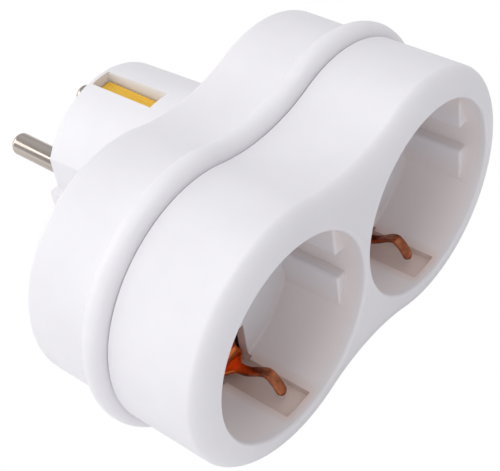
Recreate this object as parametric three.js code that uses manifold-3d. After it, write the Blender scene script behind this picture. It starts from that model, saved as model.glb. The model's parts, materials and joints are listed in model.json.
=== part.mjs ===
// Double socket adapter: one earthed plug at the back, two round earthed sockets side by side in front.
// Millimetres. +X runs along the two sockets, +Y towards the plug's pins, +Z up.
// The origin is the centre of the plug's engagement face, so the front face lies at -Y.
import * as THREE from 'three';
import { mergeVertices } from 'three/addons/utils/BufferGeometryUtils.js';
import Module from 'manifold-3d';

const wasm = await Module();
wasm.setup();

// Overall form of the housing, seen from the front as two joined discs with a waist.
const LOBE_SPACING = 40.6;
const LOBE_RADIUS = 25.4;
const WAIST_INSET = 3.4;
const HOUSING_DEPTH = 40.2;
const SEAM_DEPTH = 20;
const SHELL_WALL = 2.2;
const FRONT_EDGE_WIDTH = 7;
const FRONT_EDGE_DEPTH = 3;
const REAR_EDGE_RADIUS = 1;
const REAR_TAPER = 0.3;

// Bead around the rear shell, from the seam backwards.
const BEAD_DEPTH = 22.75;
const BEAD_FLANK = 2.35;
const BEAD_STAND_OUT = 2.2;

// Lap joint of the two shells.
const LAP_LENGTH = 2.2;
const LAP_THICKNESS = 1;

// Socket wells.
const WELL_SPACING = 41;
const WELL_RADIUS = 19.65;
const WELL_DEPTH = 17.5;
const WELL_FLOOR = 2;
const WELL_WALL = 2;
const MOUTH_CHAMFER_WIDTH = 0.6;
const MOUTH_CHAMFER_DEPTH = 0.8;
const RIB_HEIGHT = 2.65;
const RIB_SLOT_HALF = 2.9;
const RIB_START = 4.5;
const RIB_EDGE = 0.6;
const CLIP_SLOT_HALF = 3.4;
const CLIP_SLOT_CUT = 1.1;
const CLIP_SLOT_START = 2.3;
const FLOOR_WINDOW_HALF = 4.2;
const FLOOR_WINDOW_MARGIN = 2.5;

// Plug pins and pin holes.
const PIN_SPACING = 19;
const PIN_RADIUS = 2.4;
const PIN_LENGTH = 19;
const PIN_TIP_RADIUS = 1.2;
const PIN_HOLE_RADIUS = 3;
const PIN_COLLAR_RADIUS = 3.6;
const PIN_COLLAR_LENGTH = 1.2;
const PIN_TAIL_RADIUS = 1.5;
const PIN_NECK_LENGTH = 3.2;
const PIN_HEAD_RADIUS = 2.4;
const PIN_HEAD_LENGTH = 0.9;

// Plug body.
const PLUG_PROJECTION = 23;
const PLUG_ROOT_RADIUS = 19.1;
const PLUG_FACE_RADIUS = 18.25;
const PLUG_FACE_EDGE = 0.5;
const PLUG_FLAT_DEPTH = 2.1;
const KEY_HALF = 2.1;
const PLUG_WALL = 2.2;
const PLUG_FACE_WALL = 3;
const PIN_BOSS_RADIUS = 5;
const PIN_BOSS_LENGTH = 9;

// Earth channels at the top and bottom of the plug, closed by a lip at the plug's face.
const CHANNEL_DEPTH = 3.05;
const CHANNEL_LIP = 1.1;
const CHANNEL_SLOPE = 0.2;
const CHANNEL_FLOOR_WALL = 1.6;

// Strip metal.
const GAP = 0.3;
const METAL = 0.8;

// Earth brackets, one spring bow in each well.
const BRACKET_HALF_WIDTH = 3.8;
const ARM_HALF_WIDTH = 1.2;
const ARM_INSET = 1.05;
const ARM_START_DEPTH = 17.6;
const ARM_RISE_DEPTH = 13.8;
const ARM_RISE = 0.9;
const HUMP_HEIGHT = 5.05;
const HUMP_DEPTH = 9.3;
const NOSE_DEPTH = 5.4;
const NOSE_INSET = 0.75;
const FOOT_HOLE_RADIUS = 0.8;

// Live parts.
const CONTACT_BORE = 2.7;
const CONTACT_WALL = 0.9;
const CONTACT_LENGTH = 9;
const CONTACT_SLIT = 1;
const COLLAR_WALL = 1.6;
const COLLAR_LENGTH = 3;
const BUSBAR_OFFSET = 7;
const BUSBAR_WIDTH = 6;
const BUSBAR_END = 3;
const TAB_LENGTH = 5.2;
const TAB_WIDTH = 4.6;
const LEG_HALF_WIDTH = 2.5;
const LEG_TAIL = 3;
const POST_HALF = 1.1;
const POST_HALF_HEIGHT = 1.5;
const POST_CLEARANCE = 0.4;
const POST_FROM_MIDDLE = 1.9;
const REAR_POST_CLEARANCE = 4.8;

// Rivets and housing screws.
const RIVET_RADIUS = 1;
const RIVET_HEAD_RADIUS = 1.9;
const RIVET_HEAD_HEIGHT = 0.6;
const SCREW_INSET = 6.5;
const SCREW_RADIUS = 1.5;
const SCREW_HEAD_RADIUS = 3;
const SCREW_HEAD_HEIGHT = 1.8;
const SCREW_SLOT_WIDTH = 0.9;
const SCREW_SLOT_DEPTH = 0.8;
const SCREW_TIP_GAP = 2;
const SCREW_SINK = 3;
const BOSS_WALL = 1.5;
const BOSS_HEIGHT = 10;

// Earth link and the plug's earth bow.
const LINK_HALF_WIDTH = 2;
const LINK_INSET = 5.1;
const BOW_HALF_WIDTH = 2.4;
const BOW_STRIP_HALF = 1.7;
const BOW_ROOT_SETBACK = 6.6;
const BOW_RIVET_OFFSET = 8;

// Number of steps around curves.
const LOBE_STEPS = 40;
const WAIST_STEPS = 12;
const ROUND_STEPS = 48;
const SMALL_STEPS = 20;

// Places worked out from the sizes above.
const FRONT_Y = -(HOUSING_DEPTH + PLUG_PROJECTION);
const REAR_FACE_Y = -PLUG_PROJECTION;
const LOBE_X = LOBE_SPACING / 2;
const WELL_X = WELL_SPACING / 2;
const WAIST_HEIGHT = LOBE_RADIUS - WAIST_INSET;
const WAIST_RADIUS = (LOBE_X ** 2 + WAIST_HEIGHT ** 2 - LOBE_RADIUS ** 2) / (2 * WAIST_INSET);
const RIB_CHORD = WELL_RADIUS - RIB_HEIGHT;
const PLUG_FLAT = PLUG_FACE_RADIUS - PLUG_FLAT_DEPTH;
const CHANNEL_FLOOR = PLUG_FACE_RADIUS - CHANNEL_DEPTH;
const CHANNEL_HALF = BOW_STRIP_HALF + GAP;
const ARM_ROOT = WELL_RADIUS - ARM_INSET;
const HUMP_INNER = WELL_RADIUS - HUMP_HEIGHT;
const NOSE_OUT = WELL_RADIUS - NOSE_INSET;
const LINK_OFFSET = ARM_ROOT - LINK_INSET;
const FLOOR_WINDOW_FROM = LINK_OFFSET - FLOOR_WINDOW_MARGIN;
const FLOOR_BACK = WELL_DEPTH + WELL_FLOOR;
const REAR_WALL_DEPTH = HOUSING_DEPTH - SHELL_WALL;
const SEAM_REAR = SEAM_DEPTH + GAP;
const BRACKET_DEPTH = FLOOR_BACK + GAP;
const LINK_DEPTH = BRACKET_DEPTH + METAL + GAP;
const CONTACT_DEPTH = FLOOR_BACK + COLLAR_LENGTH + GAP;
const BUSBAR_DEPTH = CONTACT_DEPTH + (CONTACT_LENGTH - BUSBAR_WIDTH) / 2;
const RIVET_DEPTH = BUSBAR_DEPTH + BUSBAR_WIDTH / 2;
const PIN_X = PIN_SPACING / 2;
const SCREW_X = LOBE_X + LOBE_RADIUS - SCREW_INSET;
const SCREW_SPLIT = FLOOR_BACK + BOSS_HEIGHT;
const PIN_COLLAR_Y = -PLUG_FACE_WALL - PIN_BOSS_LENGTH - GAP;
const FOOT_Y = PIN_COLLAR_Y - PIN_COLLAR_LENGTH - PIN_NECK_LENGTH;
const BOW_Y = REAR_FACE_Y + BOW_ROOT_SETBACK;
const PLUG_HOLLOW_HEIGHT = CHANNEL_FLOOR - CHANNEL_FLOOR_WALL;

const white = { color: 0xeeedf0, roughness: 0.45, metalness: 0 };
const nickel = { color: 0xb5aea4, roughness: 0.25, metalness: 0.9 };
const brass = { color: 0xcfa555, roughness: 0.35, metalness: 0.9 };
const copper = { color: 0x8a4220, roughness: 0.35, metalness: 0.9 };
const steel = { color: 0x9a9ca0, roughness: 0.35, metalness: 0.9 };

// A closed geometry as a solid that can be joined and cut.
function solid(geometry) {
  const bare = geometry.clone();
  bare.deleteAttribute('normal');
  bare.deleteAttribute('uv');
  const merged = mergeVertices(bare, 1e-5);
  const vertProperties = new Float32Array(merged.attributes.position.array);
  const triVerts = new Uint32Array(merged.index.array);
  return new wasm.Manifold(new wasm.Mesh({ numProp: 3, vertProperties, triVerts }));
}

// A solid as a geometry again.
function geometryOf(body) {
  const mesh = body.getMesh();
  const geometry = new THREE.BufferGeometry();
  geometry.setAttribute('position', new THREE.BufferAttribute(mesh.vertProperties, 3));
  geometry.setIndex(new THREE.BufferAttribute(mesh.triVerts, 1));
  geometry.computeVertexNormals();
  return geometry;
}

function joined(bodies) {
  return bodies.reduce((sum, body) => sum.add(body));
}

function cut(body, cutters) {
  return cutters.reduce((rest, cutter) => rest.subtract(cutter), body);
}

// Y of a plane that lies so far behind the front face.
function behindFront(depth) {
  return FRONT_Y + depth;
}

// A box between two corners given as [x, y, z].
function box(low, high) {
  const size = high.map((value, axis) => value - low[axis]);
  const centre = high.map((value, axis) => (value + low[axis]) / 2);
  return solid(new THREE.BoxGeometry(...size).translate(...centre));
}

// A shape drawn in X and Z, extruded in Y between two planes.
function slab(shape, fromY, toY, options = {}) {
  const depth = toY - fromY;
  const settings = { depth, bevelEnabled: false, curveSegments: SMALL_STEPS, ...options };
  const geometry = new THREE.ExtrudeGeometry(shape, settings);
  geometry.rotateX(Math.PI / 2);
  return solid(geometry.translate(0, toY, 0));
}

// A slab whose two ends are rounded inside its own length.
function roundedSlab(shape, fromY, toY, width, depth, steps) {
  const bevel = { bevelEnabled: true, bevelSize: width, bevelThickness: depth, bevelOffset: -width };
  return slab(shape, fromY + depth, toY - depth, { ...bevel, bevelSegments: steps });
}

// A turned body about the Y axis through (x, z), from a profile of [radius, y] that starts and ends on the axis.
function turned(profile, x = 0, z = 0, steps = SMALL_STEPS) {
  const points = profile.map(([radius, y]) => new THREE.Vector2(radius, y));
  return solid(new THREE.LatheGeometry(points, steps).translate(x, 0, z));
}

function rod(x, z, radius, fromY, toY, steps = SMALL_STEPS) {
  return turned([[0, fromY], [radius, fromY], [radius, toY], [0, toY]], x, z, steps);
}

function arcPoints(x, y, radius, from, to, steps) {
  const points = [];
  for (let step = 0; step <= steps; step += 1) {
    const angle = from + ((to - from) * step) / steps;
    points.push(new THREE.Vector2(x + radius * Math.cos(angle), y + radius * Math.sin(angle)));
  }
  return points;
}

// Front outline of the housing at a lobe radius: two arcs, and at each waist a hollow arc that meets both.
function outline(radius) {
  const blend = WAIST_RADIUS + LOBE_RADIUS - radius;
  const waistCentre = WAIST_HEIGHT + WAIST_RADIUS;
  const lean = Math.atan2(waistCentre, -LOBE_X);
  const turn = Math.PI;
  const top = arcPoints(0, waistCentre, blend, turn + lean, 2 * turn - lean, WAIST_STEPS);
  const bottom = arcPoints(0, -waistCentre, blend, lean, turn - lean, WAIST_STEPS);
  return new THREE.Shape([
    ...arcPoints(LOBE_X, 0, radius, -lean, lean, LOBE_STEPS),
    ...top.slice(1, -1),
    ...arcPoints(-LOBE_X, 0, radius, turn - lean, turn + lean, LOBE_STEPS),
    ...bottom.slice(1, -1),
  ]);
}

// The side of the outline, +1 or -1, in both directions.
const SIDES = [-1, 1];

// Centres of the four pin holes.
const HOLE_X = SIDES.flatMap((well) => SIDES.map((side) => well * WELL_X + side * PIN_X));

// The empty space of one well: chamfered mouth, round wall, flat floor.
function wellSpace(x) {
  const mouth = behindFront(0);
  const rim = WELL_RADIUS + MOUTH_CHAMFER_WIDTH;
  return turned([
    [0, mouth - 1],
    [rim, mouth - 1],
    [rim, mouth],
    [WELL_RADIUS, mouth + MOUTH_CHAMFER_DEPTH],
    [WELL_RADIUS, behindFront(WELL_DEPTH)],
    [0, behindFront(WELL_DEPTH)],
  ], x, 0, ROUND_STEPS);
}

// One guide rib: the part of the well beyond a chord, on one side of the centre slot.
function guideRib(x, side, end) {
  const reach = WELL_RADIUS + WELL_WALL / 2;
  const slotAngle = Math.asin(RIB_SLOT_HALF / reach);
  const chordAngle = Math.acos(RIB_CHORD / reach);
  const points = arcPoints(0, 0, reach, slotAngle, chordAngle, 6);
  points.push(new THREE.Vector2(RIB_CHORD, RIB_SLOT_HALF));
  const shape = new THREE.Shape(points);
  const floor = behindFront(WELL_DEPTH) + WELL_FLOOR / 2;
  const rib = roundedSlab(shape, behindFront(RIB_START), floor, RIB_EDGE, RIB_EDGE, 2);
  const sized = rib.scale([side, 1, end]);
  return sized.translate([x, 0, 0]);
}

// A closed shape in X and Z from its corners.
function polygon(corners) {
  return new THREE.Shape(corners.map(([x, z]) => new THREE.Vector2(x, z)));
}

// The cuts for one earth arm: a shallow slot in the well's wall and a window in its floor.
function clipCuts(x, end) {
  const top = WELL_RADIUS + CLIP_SLOT_CUT;
  const corner = Math.sqrt(WELL_RADIUS ** 2 - FLOOR_WINDOW_HALF ** 2);
  const slotShape = polygon([
    [-CLIP_SLOT_HALF, WELL_RADIUS - WELL_WALL],
    [CLIP_SLOT_HALF, WELL_RADIUS - WELL_WALL],
    [CLIP_SLOT_HALF, top],
    [-CLIP_SLOT_HALF, top],
  ]);
  const windowShape = polygon([
    [-FLOOR_WINDOW_HALF, FLOOR_WINDOW_FROM],
    [FLOOR_WINDOW_HALF, FLOOR_WINDOW_FROM],
    [FLOOR_WINDOW_HALF, corner],
    [CLIP_SLOT_HALF, top],
    [-CLIP_SLOT_HALF, top],
    [-FLOOR_WINDOW_HALF, corner],
  ]);
  const slot = slab(slotShape, behindFront(CLIP_SLOT_START), behindFront(WELL_DEPTH));
  const window = slab(windowShape, behindFront(WELL_DEPTH - WELL_FLOOR / 2), behindFront(FLOOR_BACK + 1));
  return slot.add(window).scale([1, 1, end]).translate([x, 0, 0]);
}

// Where the posts that hold a busbar stand on the floor's back, for the busbar above the pins.
const POST_X = [-WELL_X + BRACKET_HALF_WIDTH + POST_HALF + POST_CLEARANCE, POST_HALF + POST_FROM_MIDDLE];
// Where the rear shell's post stands, outside the plug's hollow.
const REAR_POST_X = -PLUG_FACE_RADIUS - POST_HALF - REAR_POST_CLEARANCE;

// A square post in line with a busbar, between two depths.
function busbarPost(side, x, fromDepth, toDepth) {
  const middle = BUSBAR_OFFSET + METAL / 2;
  const low = [x - POST_HALF, behindFront(fromDepth), middle - POST_HALF_HEIGHT];
  const high = [x + POST_HALF, behindFront(toDepth), middle + POST_HALF_HEIGHT];
  const post = box(low, high);
  return post.rotate([0, side > 0 ? 0 : 180, 0]);
}

// Front shell: front wall, two wells with ribs, pin holes, earth windows, posts and screw bosses.
function frontShell() {
  const front = behindFront(0);
  const seam = behindFront(SEAM_DEPTH);
  const cutPlane = behindFront(HOUSING_DEPTH);
  const outer = roundedSlab(outline(LOBE_RADIUS), front, cutPlane, FRONT_EDGE_WIDTH, FRONT_EDGE_DEPTH, 4);
  const lapTop = LOBE_RADIUS - SHELL_WALL + LAP_THICKNESS;
  const beyond = slab(outline(LOBE_RADIUS + 1), seam, cutPlane + 1);
  const lap = slab(outline(lapTop), seam - 1, seam + LAP_LENGTH);
  const hollow = slab(outline(LOBE_RADIUS - SHELL_WALL), behindFront(SHELL_WALL), cutPlane);
  const cups = SIDES.map((well) => rod(
    well * WELL_X, 0, WELL_RADIUS + WELL_WALL, behindFront(1), behindFront(FLOOR_BACK), ROUND_STEPS,
  ));
  const ribs = SIDES.flatMap((well) => SIDES.flatMap((side) => SIDES.map((end) => (
    guideRib(well * WELL_X, side, end)
  ))));
  const collars = HOLE_X.map((x) => rod(
    x, 0, PIN_HOLE_RADIUS + COLLAR_WALL, behindFront(FLOOR_BACK - 1), behindFront(FLOOR_BACK + COLLAR_LENGTH),
  ));
  const posts = SIDES.flatMap((side) => POST_X.map((x) => (
    busbarPost(side, x, FLOOR_BACK - 1, BUSBAR_DEPTH - GAP)
  )));
  const bosses = SIDES.map((side) => rod(
    side * SCREW_X, 0, SCREW_RADIUS + GAP + BOSS_WALL, behindFront(FLOOR_BACK - 1), behindFront(SCREW_SPLIT),
  ));
  const wells = SIDES.map((well) => wellSpace(well * WELL_X));
  const clips = SIDES.flatMap((well) => SIDES.map((end) => clipCuts(well * WELL_X, end)));
  const holes = HOLE_X.map((x) => rod(
    x, 0, PIN_HOLE_RADIUS, behindFront(WELL_DEPTH - 1), behindFront(HOUSING_DEPTH),
  ));
  const threads = SIDES.map((side) => rod(
    side * SCREW_X, 0, SCREW_RADIUS + GAP, behindFront(FLOOR_BACK), behindFront(SCREW_SPLIT + 1),
  ));
  const shell = cut(outer, [beyond]).add(lap);
  const cored = cut(shell, [hollow]).add(joined([...cups, ...collars, ...posts, ...bosses]));
  return cut(cut(cored, wells).add(joined(ribs)), [...clips, ...holes, ...threads]);
}

// The plug body: a slightly conical disc with side flats and a key on each flat.
function plugBody() {
  const front = REAR_FACE_Y - SHELL_WALL / 2;
  const cone = turned([
    [0, front],
    [PLUG_ROOT_RADIUS, front],
    [PLUG_ROOT_RADIUS, REAR_FACE_Y],
    [PLUG_FACE_RADIUS, -PLUG_FACE_EDGE],
    [PLUG_FACE_RADIUS - PLUG_FACE_EDGE, 0],
    [0, 0],
  ], 0, 0, ROUND_STEPS);
  const past = PLUG_ROOT_RADIUS + 1;
  const flats = SIDES.flatMap((side) => SIDES.map((end) => box(
    [Math.min(side * PLUG_FLAT, side * past), REAR_FACE_Y, Math.min(end * KEY_HALF, end * past)],
    [Math.max(side * PLUG_FLAT, side * past), 1, Math.max(end * KEY_HALF, end * past)],
  )));
  return cut(cone, flats);
}

// The hollow inside the plug body, open towards the housing.
function plugHollow() {
  const round = rod(
    0, 0, PLUG_FACE_RADIUS - PLUG_WALL, behindFront(REAR_WALL_DEPTH - 1), -PLUG_FACE_WALL, ROUND_STEPS,
  );
  const halfWidth = PLUG_FLAT - PLUG_WALL;
  const bounds = box(
    [-halfWidth, behindFront(REAR_WALL_DEPTH - 2), -PLUG_HOLLOW_HEIGHT],
    [halfWidth, 0, PLUG_HOLLOW_HEIGHT],
  );
  return round.intersect(bounds);
}

// Earth channel along one edge of the plug, and the slot that lets the earth bow out.
function earthChannel(end) {
  const top = PLUG_ROOT_RADIUS + 1;
  const shape = polygon([
    [-CHANNEL_HALF, CHANNEL_FLOOR],
    [CHANNEL_HALF, CHANNEL_FLOOR],
    [CHANNEL_HALF + CHANNEL_SLOPE, top],
    [-CHANNEL_HALF - CHANNEL_SLOPE, top],
  ]);
  const channel = slab(shape, BOW_Y - GAP, -CHANNEL_LIP);
  const slot = box(
    [-CHANNEL_HALF, BOW_Y - GAP, PLUG_HOLLOW_HEIGHT - 1],
    [CHANNEL_HALF, BOW_Y + METAL + GAP, CHANNEL_FLOOR + 1],
  );
  return channel.add(slot).scale([1, 1, end]);
}

// The part of the rear shell and front shell bosses that a housing screw passes through.
function screwBoss(side) {
  const headRadius = SCREW_HEAD_RADIUS + GAP;
  const x = side * SCREW_X;
  return turned([
    [0, behindFront(SCREW_SPLIT + GAP)],
    [SCREW_RADIUS + GAP + BOSS_WALL, behindFront(SCREW_SPLIT + GAP)],
    [SCREW_RADIUS + GAP + BOSS_WALL, REAR_FACE_Y - SCREW_SINK - 2 * BOSS_WALL],
    [headRadius + BOSS_WALL, REAR_FACE_Y - SCREW_SINK - BOSS_WALL],
    [headRadius + BOSS_WALL, REAR_FACE_Y - SHELL_WALL / 2],
    [0, REAR_FACE_Y - SHELL_WALL / 2],
  ], x);
}

function screwBore(side) {
  const x = side * SCREW_X;
  const shank = rod(x, 0, SCREW_RADIUS + GAP, behindFront(SCREW_SPLIT) - 1, REAR_FACE_Y);
  return shank.add(rod(x, 0, SCREW_HEAD_RADIUS + GAP, REAR_FACE_Y - SCREW_SINK, REAR_FACE_Y + 1));
}

// Rear shell: rear cup with the bead, the plug body, pin bosses, posts and screw bosses.
function rearShell() {
  const seam = behindFront(SEAM_REAR);
  const rearRadius = LOBE_RADIUS - REAR_TAPER;
  const inner = rearRadius - SHELL_WALL;
  const outer = roundedSlab(outline(rearRadius), seam - 3, REAR_FACE_Y, REAR_EDGE_RADIUS, REAR_EDGE_RADIUS, 2);
  const ahead = slab(outline(LOBE_RADIUS + 1), seam - 4, seam);
  const beadEnd = behindFront(2 * BEAD_DEPTH - SEAM_REAR);
  const bead = roundedSlab(outline(LOBE_RADIUS + BEAD_STAND_OUT), seam, beadEnd, BEAD_FLANK, BEAD_FLANK, 4);
  const hollow = slab(outline(inner), seam - 5, behindFront(REAR_WALL_DEPTH));
  const lapSpace = slab(
    outline(LOBE_RADIUS - SHELL_WALL + LAP_THICKNESS + GAP),
    seam - 5,
    seam + LAP_LENGTH,
  );
  const pinBosses = SIDES.map((side) => rod(
    side * PIN_X, 0, PIN_BOSS_RADIUS, -PLUG_FACE_WALL - PIN_BOSS_LENGTH, -PLUG_FACE_WALL + 1,
  ));
  const pinHoles = SIDES.map((side) => rod(
    side * PIN_X, 0, PIN_RADIUS + GAP, -PLUG_FACE_WALL - PIN_BOSS_LENGTH - 1, 1,
  ));
  const posts = SIDES.map((side) => busbarPost(
    side, REAR_POST_X, BUSBAR_DEPTH + BUSBAR_WIDTH + GAP, REAR_WALL_DEPTH + 1,
  ));
  const skin = cut(cut(outer, [ahead]).add(bead).add(plugBody()), [hollow, lapSpace, plugHollow()]);
  const built = skin.add(joined([...pinBosses, ...posts, ...SIDES.map(screwBoss)]));
  return cut(built, [...pinHoles, ...SIDES.map(earthChannel), ...SIDES.map(screwBore)]);
}

// Plug pin: rounded tip, shank, collar behind the boss, tail riveted over the busbar's foot.
function plugPin(x) {
  const tip = arcPoints(
    PIN_RADIUS - PIN_TIP_RADIUS, PIN_LENGTH - PIN_TIP_RADIUS, PIN_TIP_RADIUS, 0, Math.PI / 2, 4,
  ).map((point) => [point.x, point.y]);
  const shoulder = FOOT_Y + METAL + GAP;
  const head = FOOT_Y - GAP;
  return turned([
    [0, head - PIN_HEAD_LENGTH],
    [PIN_HEAD_RADIUS, head - PIN_HEAD_LENGTH],
    [PIN_HEAD_RADIUS, head],
    [PIN_TAIL_RADIUS, head],
    [PIN_TAIL_RADIUS, shoulder],
    [PIN_RADIUS, shoulder],
    [PIN_RADIUS, PIN_COLLAR_Y - PIN_COLLAR_LENGTH],
    [PIN_COLLAR_RADIUS, PIN_COLLAR_Y - PIN_COLLAR_LENGTH],
    [PIN_COLLAR_RADIUS, PIN_COLLAR_Y],
    [PIN_RADIUS, PIN_COLLAR_Y],
    ...tip,
    [0, PIN_LENGTH],
  ], x, 0, 28);
}

// Which way a contact's tab points, so that its rivet stays on the busbar.
function tabSide(contactX, pinX) {
  return Math.sign(pinX - contactX);
}

function rivetX(contactX, pinX) {
  return contactX + tabSide(contactX, pinX) * (METAL / 2 + TAB_LENGTH / 2);
}

// Socket contact: a slit sleeve around the pin's way, with a web and a flat tab under the busbar.
function socketContact(contactX, pinX) {
  const start = behindFront(CONTACT_DEPTH);
  const outerRadius = CONTACT_BORE + CONTACT_WALL;
  const tabTop = BUSBAR_OFFSET - GAP;
  const middle = behindFront(RIVET_DEPTH);
  const reach = tabSide(contactX, pinX) * (METAL / 2 + TAB_LENGTH);
  const sleeve = rod(contactX, 0, outerRadius, start, start + CONTACT_LENGTH, 24);
  const bore = rod(contactX, 0, CONTACT_BORE, start - 1, start + CONTACT_LENGTH + 1, 24);
  const slit = box(
    [contactX - CONTACT_SLIT / 2, start - 1, -outerRadius - 1],
    [contactX + CONTACT_SLIT / 2, start + CONTACT_LENGTH + 1, 0],
  );
  const web = box(
    [contactX - METAL / 2, middle - TAB_WIDTH / 2, CONTACT_BORE + CONTACT_WALL / 2],
    [contactX + METAL / 2, middle + TAB_WIDTH / 2, tabTop],
  );
  const tab = box(
    [Math.min(contactX, contactX + reach), middle - TAB_WIDTH / 2, tabTop - METAL],
    [Math.max(contactX, contactX + reach), middle + TAB_WIDTH / 2, tabTop],
  );
  const hole = upright(rivetX(contactX, pinX), middle, RIVET_RADIUS + GAP, 0, BUSBAR_OFFSET);
  return cut(sleeve.add(web).add(tab), [bore, slit, hole]);
}

// A round rod along Z.
function upright(x, y, radius, low, high) {
  const geometry = new THREE.CylinderGeometry(radius, radius, high - low, SMALL_STEPS);
  geometry.rotateX(Math.PI / 2);
  return solid(geometry.translate(x, y, (low + high) / 2));
}

// Busbar above the pins: a strip over both contacts, with a leg back to the plug pin and a foot on its tail.
function busbar(contacts, pinX) {
  const low = BUSBAR_OFFSET;
  const high = BUSBAR_OFFSET + METAL;
  const start = behindFront(BUSBAR_DEPTH);
  const middle = behindFront(RIVET_DEPTH);
  const strip = box(
    [Math.min(...contacts) - BUSBAR_END, start, low],
    [Math.max(...contacts) + BUSBAR_END, start + BUSBAR_WIDTH, high],
  );
  const leg = box([pinX - LEG_HALF_WIDTH, start, low], [pinX + LEG_HALF_WIDTH, FOOT_Y + METAL, high]);
  const foot = box([pinX - LEG_HALF_WIDTH, FOOT_Y, -LEG_TAIL], [pinX + LEG_HALF_WIDTH, FOOT_Y + METAL, high]);
  const holes = contacts.map((x) => upright(rivetX(x, pinX), middle, RIVET_RADIUS + GAP, low - 1, high + 1));
  const tailHole = rod(pinX, 0, PIN_TAIL_RADIUS + GAP, FOOT_Y - 1, FOOT_Y + METAL + 1);
  return cut(strip.add(leg).add(foot), [...holes, tailHole]);
}

// Rivet along +Y from its origin: two flat heads with the grip length between them.
function rivet(grip) {
  return turned([
    [0, -GAP - RIVET_HEAD_HEIGHT],
    [RIVET_HEAD_RADIUS, -GAP - RIVET_HEAD_HEIGHT],
    [RIVET_HEAD_RADIUS, -GAP],
    [RIVET_RADIUS, -GAP],
    [RIVET_RADIUS, grip + GAP],
    [RIVET_HEAD_RADIUS, grip + GAP],
    [RIVET_HEAD_RADIUS, grip + GAP + RIVET_HEAD_HEIGHT],
    [0, grip + GAP + RIVET_HEAD_HEIGHT],
  ]);
}

const RIVET_GRIP = METAL + GAP + METAL;

// Upper half of the earth bracket's side view: rising arm, hump and nose, as [y, z].
function armLine() {
  const hump = HUMP_INNER + METAL / 2;
  const curve = new THREE.SplineCurve([
    new THREE.Vector2(behindFront(BRACKET_DEPTH), ARM_ROOT),
    new THREE.Vector2(behindFront(ARM_START_DEPTH), ARM_ROOT),
    new THREE.Vector2(behindFront(ARM_RISE_DEPTH), ARM_ROOT - ARM_RISE),
    new THREE.Vector2(behindFront(HUMP_DEPTH), hump),
    new THREE.Vector2(behindFront((HUMP_DEPTH + NOSE_DEPTH) / 2), hump + METAL),
    new THREE.Vector2(behindFront(NOSE_DEPTH), NOSE_OUT),
  ]);
  return curve.getPoints(16);
}

// What the rounded end of an arm's nose leaves out.
function noseCorners() {
  const middle = NOSE_OUT - ARM_HALF_WIDTH;
  const from = behindFront(NOSE_DEPTH) - METAL;
  const to = behindFront((HUMP_DEPTH + NOSE_DEPTH) / 2);
  const block = box([-ARM_HALF_WIDTH - 1, from, middle], [ARM_HALF_WIDTH + 1, to, NOSE_OUT + 1]);
  return cut(block, [rod(0, middle, ARM_HALF_WIDTH, from - 1, to + 1)]);
}

// A strip of metal with its side view along a line of [y, z], as a shape.
function stripShape(line, thickness) {
  const left = [];
  const right = [];
  line.forEach((point, index) => {
    const before = line[Math.max(index - 1, 0)];
    const after = line[Math.min(index + 1, line.length - 1)];
    const along = after.clone().sub(before).normalize();
    const aside = new THREE.Vector2(-along.y, along.x).multiplyScalar(thickness / 2);
    left.push(point.clone().add(aside));
    right.unshift(point.clone().sub(aside));
  });
  return new THREE.Shape([...left, ...right]);
}

// A shape drawn in Y and Z, extruded in X about the middle.
function sidePlate(shape, halfWidth) {
  const geometry = new THREE.ExtrudeGeometry(shape, { depth: 2 * halfWidth, bevelEnabled: false });
  geometry.rotateX(Math.PI / 2);
  geometry.rotateZ(Math.PI / 2);
  return solid(geometry.translate(-halfWidth, 0, 0));
}

// Earth bracket of one well: a wide foot strip behind the floor and a spring arm at each end.
function earthBracket() {
  const low = behindFront(BRACKET_DEPTH);
  const base = box([-BRACKET_HALF_WIDTH, low, -ARM_ROOT], [BRACKET_HALF_WIDTH, low + METAL, ARM_ROOT]);
  const strip = sidePlate(stripShape(armLine(), METAL), ARM_HALF_WIDTH);
  const arm = cut(strip, [noseCorners()]);
  const root = box(
    [-ARM_HALF_WIDTH, low - METAL, ARM_ROOT - METAL / 2],
    [ARM_HALF_WIDTH, low + METAL, ARM_ROOT + METAL / 2],
  );
  const arms = SIDES.map((end) => arm.add(root).scale([1, 1, end]));
  const upperHole = rod(0, LINK_OFFSET, FOOT_HOLE_RADIUS, low - 1, low + METAL + 1);
  const rivetHole = rod(0, -LINK_OFFSET, RIVET_RADIUS + GAP, low - 1, low + METAL + 1);
  return cut(joined([base, ...arms]), [upperHole, rivetHole]);
}

// Earth link: a strip across both brackets with a leg back to the plug's earth bow.
function earthLink() {
  const low = behindFront(LINK_DEPTH);
  const reach = WELL_X + BRACKET_HALF_WIDTH;
  const inner = -LINK_OFFSET + LINK_HALF_WIDTH;
  const footTop = -BOW_RIVET_OFFSET + RIVET_HEAD_RADIUS + 1;
  const footY = BOW_Y - GAP - METAL;
  const strip = box([-reach, low, -LINK_OFFSET - LINK_HALF_WIDTH], [reach, low + METAL, inner]);
  const leg = box([-BOW_HALF_WIDTH, low, inner - METAL], [BOW_HALF_WIDTH, footY + METAL, inner]);
  const foot = box([-BOW_HALF_WIDTH, footY, inner - METAL], [BOW_HALF_WIDTH, footY + METAL, footTop]);
  const holes = SIDES.map((well) => rod(
    well * WELL_X, -LINK_OFFSET, RIVET_RADIUS + GAP, low - 1, low + METAL + 1,
  ));
  const bowHole = rod(0, -BOW_RIVET_OFFSET, RIVET_RADIUS + GAP, footY - 1, footY + METAL + 1);
  return cut(joined([strip, leg, foot]), [...holes, bowHole]);
}

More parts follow.
